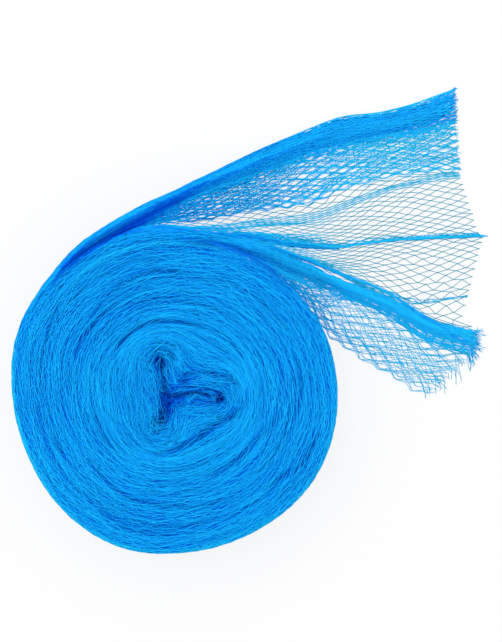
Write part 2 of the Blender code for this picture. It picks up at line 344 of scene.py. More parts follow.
def pit_depth(plan):
    """How deep the hollow's pits lie at points of the plan."""
    depth = 0.0
    for row in PITS:
        off = np.linalg.norm(plan - (row.x, row.y), axis=-1)
        depth = depth + row.depth * np.exp(-((off / row.radius) ** 2))
    return depth


def roll_top(turn, across, radius):
    """The height of the roll's top, by turns wound in from the step and place across the turn."""
    direction = STEP_DIRECTION + 360 * turn
    fade = eased((turn - EDGE_FADES[0]) / (EDGE_FADES[1] - EDGE_FADES[0]))
    wound = np.maximum(np.floor(turn), 0) + np.where(turn < 1, fade, 0)
    inward = TURN_THICKNESS * (wound + across)
    rise = clamp(1 - inward / SHOULDER_WIDTH)
    height = ROLL_HEIGHT - SHOULDER_DROP * (1 - np.sqrt(1 - rise * rise)) + np.minimum(inward, 0)
    height = height - FURROW_DEPTH * furrow(turn, across) * (1 - rise)
    share = np.maximum(radius, 0) / roll_radius(direction)
    sunk = clamp((SINK_STARTS - radius) / (SINK_STARTS - SINK_ENDS))
    return height - LIP_DROP * np.maximum(0, 1 - share / LIP_DROP_RADIUS) ** 2 - SINK_DEPTH * sunk**2


# ---------------------------------------------------------------- strands as tubes

Tubes = namedtuple("Tubes", "points openness tint")


def strand_paths(nodes, *grids, start=0, steps=DENSE_STEPS, bend=1.0):
    """The strands of a net whose joints lie on a grid of columns by rows, joined in twos at every other one.

    It returns their points, and the values that each further grid holds at them. A fully bent bar leaves and
    meets a joint along the net's length, so it runs like an S; one without bend is straight.
    """
    columns, rows = nodes.shape[:2]
    strand = np.arange(columns - 1)[:, None]
    row = np.arange(rows)[None, :]
    column = strand + (row + strand + start) % 2
    along = unit(np.gradient(nodes, axis=1))
    side = beside(along)
    apart = JOINT_OFFSET * (1 - 2 * (column - strand))[..., None]
    joint = nodes[column, row] + side[column, row] * apart
    t = np.asarray(steps)[:, None]
    here, ahead = joint[:, :-1, None], joint[:, 1:, None]
    reach = bend * np.linalg.norm(ahead - here, axis=-1, keepdims=True)
    leaving = along[column, row]
    paths = here + (ahead - here) * (bend * t * t * (3 - 2 * t) + (1 - bend) * t)
    paths = paths + t * (1 - t) ** 2 * reach * leaving[:, :-1, None]
    paths = paths - t * t * (1 - t) * reach * leaving[:, 1:, None]
    paths = np.concatenate((paths.reshape(columns - 1, -1, 3), joint[:, -1:]), axis=1)
    read = [paths]
    for grid in grids:
        held = grid[column, row]
        read.append(np.concatenate((np.repeat(held[:, :-1], len(steps), axis=1), held[:, -1:]), axis=1))
    return read


def ring_faces(number, flipped=False):
    """The sides and end caps of bodies made of rings, from an array of bodies by rings by corners."""
    here, ahead = number[:, :-1], number[:, 1:]
    sides = np.stack((here, np.roll(here, -1, 2), np.roll(ahead, -1, 2), ahead), axis=-1).reshape(-1, 4)
    caps = np.concatenate((number[:, 0, ::-1], number[:, -1]))
    if flipped:
        return sides[:, (0, 3, 2, 1)], caps[:, ::-1]
    return sides, caps


def tube_mesh(paths, radius, sides):
    """Vertices and faces of a tube along each path, closed at both ends."""
    count, steps = paths.shape[:2]
    along = unit(np.gradient(paths, axis=1))
    side = beside(along)
    upright = np.linalg.norm(side, axis=-1) < 0.05
    side[upright] = (1, 0, 0)
    side = unit(side)
    over = np.cross(side, along)
    turns = 2 * math.pi * (np.arange(sides) + 0.25) / sides
    ring = side[:, :, None] * np.cos(turns)[:, None] + over[:, :, None] * np.sin(turns)[:, None]
    vertices = (paths[:, :, None] + radius * ring).reshape(-1, 3)
    number = np.arange(count * steps * sides).reshape(count, steps, sides)
    return vertices, *ring_faces(number, flipped=True)


def place_in_scene(name, data):
    thing = bpy.data.objects.new(name, data)
    bpy.context.scene.collection.objects.link(thing)
    return thing


def make_mesh(name, vertices, faces, attributes, material):
    """A mesh object of faces given as arrays of corners, one array for each number of corners."""
    mesh = bpy.data.meshes.new(name)
    mesh.vertices.add(len(vertices))
    mesh.vertices.foreach_set("co", (vertices * MM).astype(np.float32).ravel())
    totals = np.concatenate([np.full(len(part), part.shape[1], np.int32) for part in faces])
    corners = np.concatenate([part.ravel() for part in faces]).astype(np.int32)
    mesh.loops.add(len(corners))
    mesh.loops.foreach_set("vertex_index", corners)
    mesh.polygons.add(len(totals))
    mesh.polygons.foreach_set("loop_start", (np.cumsum(totals) - totals).astype(np.int32))
    mesh.update(calc_edges=True)
    mesh.shade_smooth()
    mesh.materials.append(material)
    for label, values in attributes.items():
        mesh.attributes.new(label, "FLOAT", "POINT").data.foreach_set("value", values.astype(np.float32))
    return place_in_scene(name, mesh)


def make_netting(name, vertices, faces, attributes, material):
    """A mesh that is part of the netting and goes with the part's only body."""
    piece = make_mesh(name, vertices, faces, attributes, material)
    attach(piece, "root")
    return piece


def make_strands(name, tubes, material, radius=STRAND_RADIUS, sides=3):
    """One piece from groups of strands."""
    vertices, quads, caps, openness, tint = [], [], [], [], []
    count = 0
    for group in tubes:
        paths = group.points.copy()
        paths[..., 2] = np.maximum(paths[..., 2], radius)
        points, sheets, ends = tube_mesh(paths, radius, sides)
        vertices.append(points)
        quads.append(sheets + count)
        caps.append(ends + count)
        openness.append(np.repeat(group.openness.ravel(), sides))
        tint.append(np.repeat(group.tint.ravel(), sides))
        count += len(points)
    attributes = {"openness": np.concatenate(openness), "tint": np.concatenate(tint)}
    faces = (np.concatenate(quads), np.concatenate(caps))
    return make_netting(name, np.concatenate(vertices), faces, attributes, material)


# ---------------------------------------------------------------- the loose end


def loose_section(place):
    """What the tables say at an array of places along the loose end, counted in sections from the roll."""
    numbers = np.arange(len(SECTIONS)) + FIRST_PLACE
    row = Section(*np.moveaxis(curve_through(numbers, SECTIONS)(place), -1, 0))
    outer = np.stack((row.outer_x, row.outer_y), axis=-1)
    outside = clamp((STEP_DIRECTION - row.inner_direction) / 360) * TURN_THICKNESS
    inner_radius = base_radius(row.inner_direction) + outside + row.inner_clear
    across = polar(inner_radius, row.inner_direction) - outer

    def share(line):
        return curve_through(SHARE_PLACES, line.shares)(place)

    crease = share(CREASE)
    room = np.minimum(crease - share(NET_EDGE), share(LOWER_BAND) - crease) / 2
    lane = np.interp(place, ROPE_PLACES, ROPE_HALF_WIDTHS)
    lane = np.minimum(lane / np.linalg.norm(across, axis=-1), room)
    before_band = crease + 0.9 * (share(LOWER_BAND) - crease)
    upper_rise = row.upper_band - row.net
    band_top = row.inner_foot + LOWER_BAND_TOP * (row.lower_band - row.inner_foot)
    band_foot = row.inner_foot + LOWER_BAND_FOOT * (row.inner_edge - row.inner_foot)
    knots = (
        (0 * crease, row.edge, 0),
        (share(BAND_FOOT) / 2, row.upper_band, BAND_FOOT.reach / 2),
        (share(BAND_FOOT), row.net + UPPER_BAND_FOOT * upper_rise, BAND_FOOT.reach),
        (share(NET_EDGE), row.net, NET_EDGE.reach),
        (crease - lane, row.outer_foot, CREASE.reach - CUT_END_PULLED_IN),
        (crease, row.crease, CREASE.reach),
        (crease + lane, row.inner_foot, CREASE.reach - CUT_END_PULLED_IN / 2),
        (before_band, row.inner_foot, LOWER_BAND.reach - LOWER_CUT_PULLED_IN),
        (share(LOWER_BAND), band_top, LOWER_BAND.reach),
        ((share(LOWER_BAND) + share(LOWER_NET)) / 2, row.lower_band, LOWER_BAND.reach),
        (share(LOWER_NET), band_foot, LOWER_NET.reach),
        (0 * crease + 1, row.inner_edge, 0),
    )
    shares, heights, reaches = (np.stack([column + 0 * crease for column in rows]) for rows in zip(*knots))
    return outer, across, shares, heights, reaches


def loose_point(place, number):
    """Points on the loose end's top surface, and down its sides. Both arrays have columns by places."""
    outer, across, shares, heights, reaches = loose_section(place[0])
    folds = np.asarray(FOLD_NUMBERS, float)
    on_top = np.clip(number, 0, 6)
    i = np.clip(np.searchsorted(folds, on_top, side="right") - 1, 0, len(folds) - 2)
    t = (on_top - folds[i]) / (folds[i + 1] - folds[i])
    at = np.broadcast_to(np.arange(place.shape[1]), number.shape)

    def between(rows, amount):
        return rows[i, at] + (rows[i + 1, at] - rows[i, at]) * amount

    spot = outer[at] + across[at] * between(shares, t)[..., None]
    forward = np.maximum(0, (place - REACH_STARTS) / (LAST_PLACE - REACH_STARTS)) ** 2
    x = spot[..., 0] + forward * between(reaches, t)
    height = between(heights, eased(t))
    down = np.maximum(-number, number - 6).clip(0, 1)
    return x, spot[..., 1], height, down


# A pass of the netting across the loose end: the fold where it ends, its strands, how high in the stack it
# lies, how single its strands look by the roll and at the cut end, and how far its fold strays. A fold is a
# number, or its numbers at FOLD_PLACES.
Pass = namedtuple("Pass", "end strands level single_near single_far wander")
FOLD_PLACES = (3.5, 4.25, 5, 6, 7, 8)
ABOVE_STREAK = (2.42, 2.25, 2.21, 2.175, 2.10, 2.00)
BELOW_STREAK = (2.68, 2.46, 2.38, 2.30, 2.21, 2.07)
UNDER_STREAK = (2.78, 2.52, 2.50, 2.45, 2.39, 2.30)
BY_ROPE = (2.90, 2.75, 2.68, 2.62, 2.58, 2.49)
ROPE_TOP = (2.88, 2.90, 2.92, 2.94, 2.96, 2.97)
ROPE_FOOT = (3.10, 3.10, 3.07, 3.03, 3.02, 3.02)
BELOW_ROPE = (3.85, 3.82, 3.72, 3.55, 3.34, 3.22)
SMALL_CREASE = (4.10, 4.02, 4.04, 4.05, 4.00, 3.68)
BELOW_SMALL = (4.05, 4.00, 4.01, 4.02, 3.96, 3.65)
UNDER_BAND = (4.40, 4.12, 4.10, 4.12, 4.25, 4.05)
BUNDLE_TOP = (3.50, 3.93, 3.98, 3.98, 3.98, 4.30)
BUNDLE_FOOT = (3.70, 4.00, 4.06, 4.06, 4.07, 4.50)
CORE_TOP = (3.75, 4.08, 4.23, 4.25, 4.18, 4.02)
CORE_FOOT = (5.20, 5.05, 4.88, 4.66, 4.60, 4.66)
BAND_EDGE = (5.50, 5.30, 5.12, 4.97, 4.95, 4.95)
FAN_EDGE = (5.90, 5.90, 5.60, 5.12, 4.96, 4.95)


def pleats(start, end, count, strands, single_near, single_far, wander):
    """Passes to and fro between two folds, from the top of the stack down."""
    levels = np.concatenate((np.linspace(1, 0.90, count - count // 3), np.linspace(0.75, 0.1, count // 3)))
    return [
        Pass((end, start)[i % 2], strands, level, single_near, single_far, wander)
        for i, level in enumerate(levels)
    ]


# A run of passes: the fold it starts from, and over how many places its strands come to look single
Run = namedtuple("Run", "start passes single_over")
UPPER = Run(
    -1,
    [
        Pass(0, 24, 1.0, 0.04, 0.16, 0.01),
        *pleats(0, 1, 9, 20, 0.04, 0.16, 0.10),
        Pass(1.12, 4, 0.9, 0.1, 0.3, 0.03),
    ],
    4.5,
)
HALF_OPEN = Run(
    0.88,
    [
        Pass(1.98, 16, 1.00, 0.30, 0.62, 0.02),
        Pass(0.90, 16, 0.97, 0.18, 0.45, 0.06),
        Pass(2.00, 16, 0.93, 0.28, 0.60, 0.02),
        Pass(0.95, 12, 0.88, 0.15, 0.40, 0.08),
        Pass(1.97, 16, 0.84, 0.25, 0.58, 0.02),
        Pass(1.25, 7, 0.80, 0.10, 0.40, 0.08),
        Pass(0.93, 6, 0.78, 0.15, 0.42, 0.06),
        Pass(2.02, 11, 0.75, 0.25, 0.58, 0.02),
    ],
    4.5,
)
OPEN = Run(
    2.0,
    [
        Pass(ABOVE_STREAK, 3, 1.0, 0.9, 1.0, 0.01),
        Pass(BELOW_STREAK, 8, 1.0, 0.7, 0.9, 0.01),
        Pass(UNDER_STREAK, 5, 1.0, 0.8, 1.0, 0.01),
        Pass(BY_ROPE, 4, 0.98, 0.7, 1.0, 0.01),
        Pass(2.97, 11, 0.95, 0.4, 1.0, 0.01),
        Pass((2.92, 2.80, 2.80, 2.84, 2.87, 2.88), 6, 0.9, 0.25, 0.55, 0.01),
        Pass(3.0, 6, 0.85, 0.15, 0.5, 0.008),
        Pass(ROPE_TOP, 5, 1.0, 0.05, 0.4, 0.01),
        Pass(ROPE_FOOT, 6, 0.95, 0.05, 0.4, 0.01),
        Pass(BELOW_ROPE, 8, 0.97, 0.3, 1.0, 0.02),
        Pass(SMALL_CREASE, 13, 1.0, 0.2, 1.0, 0.03),
        Pass(BELOW_SMALL, 4, 0.95, 0.1, 0.5, 0.03),
        Pass(UNDER_BAND, 8, 0.9, 0.1, 1.0, 0.01),
    ],
    2.3,
)
LOWER = Run(
    BUNDLE_TOP,
    [
        Pass(BUNDLE_FOOT, 5, 1.06, 0.05, 0.30, 0.01),
        Pass(BUNDLE_TOP, 5, 1.03, 0.05, 0.30, 0.01),
        Pass(BUNDLE_FOOT, 5, 1.00, 0.05, 0.30, 0.01),
        Pass(CORE_TOP, 2, 1.00, 0.05, 0.30, 0.01),
        *pleats(CORE_TOP, CORE_FOOT, 7, 16, 0.05, 0.30, 0.06),
        Pass(BAND_EDGE, 9, 0.98, 0.05, 0.35, 0.06),
        Pass(4.45, 12, 0.95, 0.05, 0.30, 0.08),
        Pass(FAN_EDGE, 15, 0.90, 0.05, 0.35, 0.08),
        Pass(4.55, 11, 0.88, 0.05, 0.30, 0.08),
        Pass(6.0, 16, 1.0, 0.2, 0.72, 0.04),
        Pass((4.8, 4.8, 4.8, 4.9, 5.0, 4.9), 9, 0.97, 0.1, 0.48, 0.06),
        Pass((6.0, 6.0, 5.95, 5.80, 5.70, 5.65), 9, 0.94, 0.2, 0.64, 0.06),
        Pass((5.0, 5.0, 4.9, 4.9, 4.9, 4.8), 8, 0.90, 0.1, 0.48, 0.06),
        Pass((6.0, 6.0, 6.0, 5.97, 5.95, 5.92), 8, 0.86, 0.2, 0.68, 0.04),
        Pass((5.3, 5.3, 5.3, 5.5, 5.6, 5.55), 4, 0.8, 0.1, 0.45, 0.06),
        Pass((6.0, 6.0, 6.0, 5.98, 5.97, 6.0), 4, 0.75, 0.1, 0.6, 0.03),
    ],
    4.5,
)
# How far short of the cut end's line the knitted rows stop, and how far the cut strands reach past them
Fringe = namedtuple("Fringe", "pulled_in shortest longest sway")
UPPER_FRINGE = Fringe(3, 0.5, 5.0, 0.22)
OPEN_FRINGE = Fringe(2, 0.3, 1.5, 0.1)
LOWER_FRINGE = Fringe(9, 1.0, 12.0, 0.22)
# How the cut strands lean, by their number across the loose end: along +X and along +Y, as shares of length
LEANS = (
    (-1, 0, 0.35), (0.4, 0, 0), (4.4, 0, 0), (4.62, -0.15, -0.5), (4.9, -0.4, -1.1), (5.2, -0.35, -1.0),
    (5.6, -0.1, -0.4), (6, 0, -0.1),
)


def fold_line(fold, place):
    """A fold's number across the loose end at an array of places."""
    if isinstance(fold, tuple):
        return curve_through(FOLD_PLACES, fold)(np.clip(place, FOLD_PLACES[0], FOLD_PLACES[-1]))
    return fold + 0 * place


def pass_columns(run, place, seed):
    """The columns of joints of one run of passes: place across, level and looks, columns by places."""
    numbers, levels, openness = [], [], []
    by_cut = eased((place - 3.5) / run.single_over)
    start = fold_line(run.start, place)
    for i, one in enumerate(run.passes):
        end = fold_line(one.end, place) + one.wander * ripple(place, 2.2, seed + 2 * i)
        share = np.arange(1 if i else 0, one.strands + 1)[:, None] / one.strands
        unevenness = 0.3 * (end - start) / one.strands * ripple(place, 0.9, seed + 2 * i + 1, share * 9)
        numbers.append(start + (end - start) * share + unevenness)
        levels.append(np.full(len(share), one.level))
        openness.append(one.single_near + (one.single_far - one.single_near) * by_cut + 0 * share)
        start = end
    return np.concatenate(numbers), np.concatenate(levels), np.concatenate(openness)


def even_rows(points, rows, pulled_in):
    """Polylines of points and further values, read at evenly spaced lengths, stopping short of their ends."""
    steps = np.linalg.norm(np.diff(points[..., :3], axis=1), axis=-1)
    lengths = np.concatenate((np.zeros((len(points), 1)), np.cumsum(steps, axis=1)), axis=1)
    share = np.linspace(0, 1, rows)
    out = np.empty((len(points), rows, points.shape[2]))
    for i, line in enumerate(points):
        wanted = share * (lengths[i, -1] - pulled_in)
        for axis in range(points.shape[2]):
            out[i, :, axis] = np.interp(wanted, lengths[i], line[:, axis])
    return out


def with_fringe(paths, numbers, fringe, seed):
    """The strands with their cut ends, which reach past the last row of joints."""
    draws = np.random.default_rng(seed)
    count = len(paths)
    reach = draws.uniform(fringe.shortest, fringe.longest, count)[:, None]
    along = unit(paths[:, -1] - paths[:, -2])
    ahead, aside = read_table(LEANS, numbers)
    lean = np.column_stack((ahead, aside, 0 * ahead))
    sway = np.pad(draws.normal(0, fringe.sway, (count, 2)), ((0, 0), (0, 1)))
    middle = paths[:, -1] + 0.5 * reach * (along - 0.6 * sway + 0.4 * lean)
    end = paths[:, -1] + reach * (along + sway + lean)
    end[:, 2] = np.maximum(0.6 * end[:, 2], STRAND_RADIUS)
    return np.concatenate((paths, middle[:, None], end[:, None]), axis=1)


# Where the loose strands come out from under the wound ones, by their number: how far along they start, and
# over how long they rise
STARTS = ((-1, 12), (2.6, 20), (3, 90), (6, 105))
START_STAGGER = 10.0
START_DIVE = 9.0
START_RISE = 16.0
LANE_TINT = 0.22  # how much lighter and darker the streaks along it are
# Where, in places along the loose end, its strands come to look single
SINGLE_FROM, SINGLE_OVER = 1.6, 3.0
# How light the strands look, by their number across the loose end
SHADES = ((-1, 0.85), (-0.2, 0.75), (0, 0.53), (0.3, 0.53), (1, 0.54), (3, 0.72), (4.5, 0.72), (6, 0.80))
# By the roll, the strands beyond the net's edge are as light as the roll's own
BY_ROLL_TINT = 0.50
BY_ROLL_STARTS, BY_ROLL_OVER = 3.4, 1.6


def loose_strands(run, fringe, rows, seed, steps, bend):
    """The strands of one run of passes of the loose end."""
    samples = (LAST_PLACE - FIRST_PLACE) * SAMPLES_A_SECTION + 1
    place = np.linspace(FIRST_PLACE, LAST_PLACE, samples)
    number, level, openness = pass_columns(run, place, seed)
    x, y, height, down = loose_point(np.broadcast_to(place, number.shape), number)
    top = np.maximum(height - (1 - level[:, None]) * np.minimum(height, STACK), STRAND_RADIUS)
    z = STRAND_RADIUS + (top - STRAND_RADIUS) * (1 - down)
    read = even_rows(np.stack((x, y, z, number, openness), axis=-1), rows, fringe.pulled_in)
    nodes, number, openness = read[..., :3], read[..., 3], read[..., 4]
    column = np.arange(len(nodes))[:, None]
    row = np.arange(rows)[None, :]
    for axis in range(2):
        nodes[..., axis] += 0.3 * ripple(row, 7, seed + 50 + axis, column)
    nodes[..., 2] += 0.3 * (1 + ripple(row, 5, seed + 52, column))
    (starts,) = read_table(STARTS, number[:, :1])
    starts = starts + START_STAGGER * ripple(column, 5, seed + 55)
    covered = clamp(1 - (BAR * row - starts) / START_RISE)
    nodes[..., 2] -= START_DIVE * covered * clamp((nodes[..., 2] - 20) / 20)
    apart = np.linalg.norm(np.gradient(nodes[..., :2], axis=0), axis=-1)
    places = np.linspace(FIRST_PLACE, LAST_PLACE, rows)
    single = openness * (0.75 + 0.25 * clamp((apart - 0.8) / 1.5))
    single = single * eased((places - SINGLE_FROM) / SINGLE_OVER)
    (tint,) = read_table(SHADES, number)
    beyond = clamp((number - 2.5) / 0.4) * (1 - eased((places - BY_ROLL_STARTS) / BY_ROLL_OVER))
    # Painted shade along the valley beside the roll and along the roll's rim, and a darker line along the
    # lower band's upper edge
    tint = tint + (BY_ROLL_TINT - tint) * beyond - crease_depth(nodes[..., :2], DARK_LINES, ends=0.8)
    tint = tint + LANE_TINT * ripple(row, 40, seed + 53, 5 * column)
    paths, single, tint = strand_paths(nodes, single, tint, start=rows % 2, steps=steps, bend=bend)
    paths = with_fringe(paths, number[:-1, -1], fringe, seed)
    single = np.pad(single, ((0, 0), (0, 2)), mode="edge")
    draws = np.random.default_rng(seed + 60)
    tint = np.pad(tint, ((0, 0), (0, 2)), mode="edge") + 0.18 * draws.normal(size=(len(paths), 1))
    return Tubes(paths, single, tint)


LoosePiece = namedtuple("LoosePiece", "name run fringe rows seed steps bend radius flat_width")
LOOSE_PIECES = (
    LoosePiece("loose_net_upper", UPPER, UPPER_FRINGE, 54, 100, DENSE_STEPS, 0.5, 0.32, 0.13),
    LoosePiece("loose_net_half_open", HALF_OPEN, UPPER_FRINGE, 49, 150, DENSE_STEPS, 0.15, 0.34, 0.07),
    LoosePiece("loose_net_middle", OPEN, OPEN_FRINGE, 58, 200, OPEN_STEPS, 0.5, 0.36, 0.06),
    LoosePiece("loose_net_lower", LOWER, LOWER_FRINGE, 52, 400, DENSE_STEPS, 0.15, 0.33, 0.15),
)


def make_loose_end(material):
    for row in LOOSE_PIECES:
        strands = loose_strands(row.run, row.fringe, row.rows, row.seed, row.steps, row.bend)
        piece = make_strands(row.name, [strands], material, row.radius)
        if row is LOOSE_PIECES[0]:
            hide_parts("loose_end")


# The netting inside the loose end's bands, under the strands that show: between which numbers across
# it, at places along it
Extent = namedtuple("Extent", "place low high")
OUTER_MASS = [Extent(*row) for row in (
    (-0.6, 0.06, 2.2), (1, 0.06, 2.2), (1.6, 0.06, 1.6), (2.2, 0.05, 0.94), (7.2, 0.07, 0.84),
    (7.85, 0.20, 0.74),
)]
INNER_MASS = [Extent(*row) for row in (
    (-0.6, 2.2, 5.9), (1, 2.2, 5.9), (2, 2.9, 5.9), (3, 3.0, 5.6), (3.6, 3.0, 5.2), (4, 3.2, 5.0),
    (4.4, 4.15, 4.80), (5, 4.30, 4.62), (7.2, 4.28, 4.46), (7.8, 4.28, 4.45),
)]
ROPE_MASS = (Extent(2.4, 2.92, 3.08), Extent(5.9, 2.93, 3.07))
MASS_COLUMNS = 9
MASS_ROWS = 72
MASS_SINK = 1.9
MASS_FLOOR = 0.3
MASS_TAPER = 0.6
FOOT_SHADE = 0.9  # how much painted shade darkens the body towards its foot


def make_loose_mass(name, extents, material):
    """A closed body under the strands of a band, from its top surface down to the floor."""
    place = np.linspace(extents[0].place, extents[-1].place, MASS_ROWS)
    low, high = read_table(extents, place)
    number = low + (high - low) * np.linspace(0, 1, MASS_COLUMNS)[:, None]
    x, y, height, _ = loose_point(np.broadcast_to(place, number.shape), number)
    sunk = MASS_SINK + START_DIVE * (1 - eased((place - extents[0].place) / MASS_TAPER))
    tapered = eased((extents[-1].place - place) / MASS_TAPER)
    z = MASS_FLOOR + 0.3 + np.maximum(height - sunk - MASS_FLOOR, 0) * tapered
    plan = np.stack((x, y), axis=-1)
    loops = np.concatenate((raised(plan, z), raised(plan, MASS_FLOOR)[::-1])).transpose(1, 0, 2)
    corners = np.arange(loops[..., 0].size).reshape(1, *loops.shape[:2])
    # Painted shade: the body's colour darkens from its top edge down to its foot
    sunk = np.tile(np.repeat((0.0, FOOT_SHADE), MASS_COLUMNS), MASS_ROWS)
    make_netting(name, loops.reshape(-1, 3), ring_faces(corners), {"sunk": sunk}, material)


# ---------------------------------------------------------------- the roll

BODY_COLUMNS = 140
ARM_COLUMNS = 26  # more columns beside each arm of the hollow
ARM_SPREAD = 12.0
BODY_RINGS = 76
BODY_OUTER_RINGS = 10
BODY_INSET = 1.7  # how far the body lies inside the part's wall, under the net
BODY_SINK = 1.2
BODY_SINK_RINGS = 6
BODY_SIDE_RINGS = 13
BODY_FOOT = ((1.5, 2.0), (6, 0.0))  # further in than the side, and how high: the rounded foot's rings
HOLLOW_WALL = ((0.35, HOLLOW_DEPTH), (0.45, 42), (0.55, 34))  # the hollow's rings: half width and depth


def body_directions():
    """Where the body's columns lie, anticlockwise from the step."""
    turns = list(np.linspace(0, OUTLINE_SPAN, BODY_COLUMNS))
    for arm in HOLLOW_ARMS:
        turns += list((arm.direction - STEP_DIRECTION + np.linspace(-1, 1, ARM_COLUMNS) * ARM_SPREAD) % 360)
    return STEP_DIRECTION + np.unique(np.round(turns, 2))


def make_roll_body(material):
    """The wound body under the strands, with a furrow here and there between its turns."""
    direction = body_directions()
    share = (direction - STEP_DIRECTION) / 360
    base, outer = base_radius(direction), roll_radius(direction)
    radii = [SINK_ENDS * s + 0 * base for s in np.linspace(1, 0.1, BODY_SINK_RINGS)]
    radii += [base * s for s in np.linspace(0, 1, BODY_RINGS)]
    radii += [base + (outer - base) * s for s in np.linspace(0, 1, BODY_OUTER_RINGS + 1)[1:]]
    # The sunk values paint shade into the body: full on the hollow's walls, and by the pits' depth on the top
    loops, sunk = [], []
    for half_width, depth in HOLLOW_WALL:
        plan = polar(hollow_radius(direction, half_width + 0 * direction), direction, HOLLOW_HUB)
        loops.append(raised(plan, ROLL_HEIGHT - depth))
        sunk.append(np.ones(len(plan)))
    for radius in radii:
        turns_in = 1 + MEAN_BASE * (1 - radius / base) / TURN_THICKNESS
        turn = np.maximum(np.floor(turns_in - share - 1e-6), 0) + share
        plan = roll_plan(direction, np.minimum(radius, outer - BODY_INSET))
        z = roll_top(turn, turns_in - turn, radius) - BODY_SINK - pit_depth(plan) - crease_depth(plan)
        z += 0.5 * ripple(direction * radius / 57, 30, 21, radius)
        loops.append(raised(plan, z))
        sunk.append(clamp(pit_depth(plan) / PIT_SHADE))
    wall_top = ROLL_HEIGHT - SHOULDER_DROP - BODY_SINK
    side = [(0, z) for z in np.linspace(wall_top, BOTTOM_ROUND, BODY_SIDE_RINGS + 1)[1:]]
    for drawn_in, z in (*side, *BODY_FOOT):
        loops.append(raised(polar(outer - BODY_INSET - drawn_in, direction), z))
    vertices = np.concatenate(loops)
    faces = ring_faces(np.arange(len(vertices)).reshape(1, len(loops), -1), flipped=True)
    sunk = np.concatenate(sunk)
    sunk = np.pad(sunk, (0, len(vertices) - len(sunk)))
    piece = make_netting("roll_body", vertices, faces, {"sunk": sunk}, material)
    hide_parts("wound_roll")


# The layers of net wound on the roll's top: strands across a turn and its overlaps, row spacing, height over
# the body, how far they follow furrows and creases down, and how light the strands look
Layer = namedtuple("Layer", "strands bar lift follow tint")
LAYERS = (
    Layer(16, 9.0, 0.0, 1.0, 0.47),
    Layer(15, 9.5, 0.7, 0.95, 0.53),
    Layer(12, 10.5, 1.2, 0.8, 0.59),
    Layer(10, 12.0, 1.7, 0.55, 0.68),
)
OVERLAP = 0.15
# The outermost ribbon goes on beside the loose end: its width there, by turns from the step
Ribbon = namedtuple("Ribbon", "turn width")
RIBBONS = [Ribbon(*row) for row in (
    (-0.260, 1.00), (-0.222, 0.98), (-0.197, 0.80), (-0.165, 0.70), (-0.136, 0.88), (-0.112, 0.96),
    (-0.080, 0.86), (-0.045, 0.86), (0.0, 1.0), (0.04, 1.0),
)]
FIRST_TURN = -0.23
LAST_TURN = 10.9
TURN_SAMPLES = 3600
CORE_RADIUS = 42.0  # inside this the rows come closer and the strands stray
CORE_CLOSENESS = 0.45  # how close the rows come, as a share of their spacing elsewhere
SLANT = 0.37  # how far each column's rows lie ahead of the last one's, in rows
# How far strands leave their lanes: in lanes along the net and one by one, and in turns where they gather
LANE_WAVE, LANE_STRAY, GATHER = 1.3, 0.9, 0.075
CORE_STRAY, CORE_RISE = 2.4, 1.2  # how far they stray in the core, in the plan and in height
RIM_INSET = 0.8  # how far the outermost turn lies inside the part's edge
JITTER = 0.12
FIRST_DIVE, FIRST_DIVE_LENGTH = 7, 25  # the ribbon's start is tucked under
INSIDE_DROP = 2.2  # how steeply strands drop inside the lip
EDGE_SINGLE, EDGE_HIGHLIGHT = 0.36, 1.1  # how single strands look on the roll's edge, and how much a painted highlight lightens them there

Wound = namedtuple("Wound", "turn radius x y outward_x outward_y thickness")


ribbon_width = curve_through([row.turn for row in RIBBONS], [row.width for row in RIBBONS])


def ribbon_radius(turn, across):
    """The radius at a place across the ribbon, which narrows outside the step."""
    direction = STEP_DIRECTION + 360 * turn
    base = base_radius(direction)
    width = ribbon_width(np.clip(turn, RIBBONS[0].turn, RIBBONS[-1].turn))
    return base + (wound_radius(direction, turn + across) - base) * width


def wound_line(bar):
    """The middle line of the wound netting, as a function of the length along it, and where its rows lie."""
    turn = np.arange(FIRST_TURN, LAST_TURN, 1 / TURN_SAMPLES)
    direction = STEP_DIRECTION + 360 * turn
    radius = ribbon_radius(turn, 0.5)
    outer, inner = ribbon_radius(turn, 0), ribbon_radius(turn, 1)
    middle = roll_plan(direction, np.maximum(radius, SINK_ENDS))
    spread = np.maximum(outer - np.maximum(inner, SINK_ENDS), 2.0)
    pitch = roll_plan(direction, np.maximum(inner, SINK_ENDS) + spread)
    pitch = pitch - roll_plan(direction, np.maximum(inner, SINK_ENDS))
    pitch = pitch * (TURN_THICKNESS / spread)[:, None]
    along = unit(np.gradient(middle, axis=0))
    outward = np.stack((along[:, 1], -along[:, 0]), axis=-1)
    thickness = np.maximum((pitch * outward).sum(axis=1), 3.0)
    steps = np.linalg.norm(np.diff(middle, axis=0), axis=1)
    length = np.concatenate(([0], np.cumsum(steps)))
    close = CORE_CLOSENESS + (1 - CORE_CLOSENESS) * clamp(radius / CORE_RADIUS)
    rows = np.concatenate(([0], np.cumsum(steps / (bar * close[1:]))))
    row_lengths = np.interp(np.arange(0, rows[-1]), rows, length)
    table = Wound(turn, radius, middle[:, 0], middle[:, 1], outward[:, 0], outward[:, 1], thickness)

    def read(at):
        return Wound(*(np.interp(at, length, values) for values in table))

    return read, row_lengths


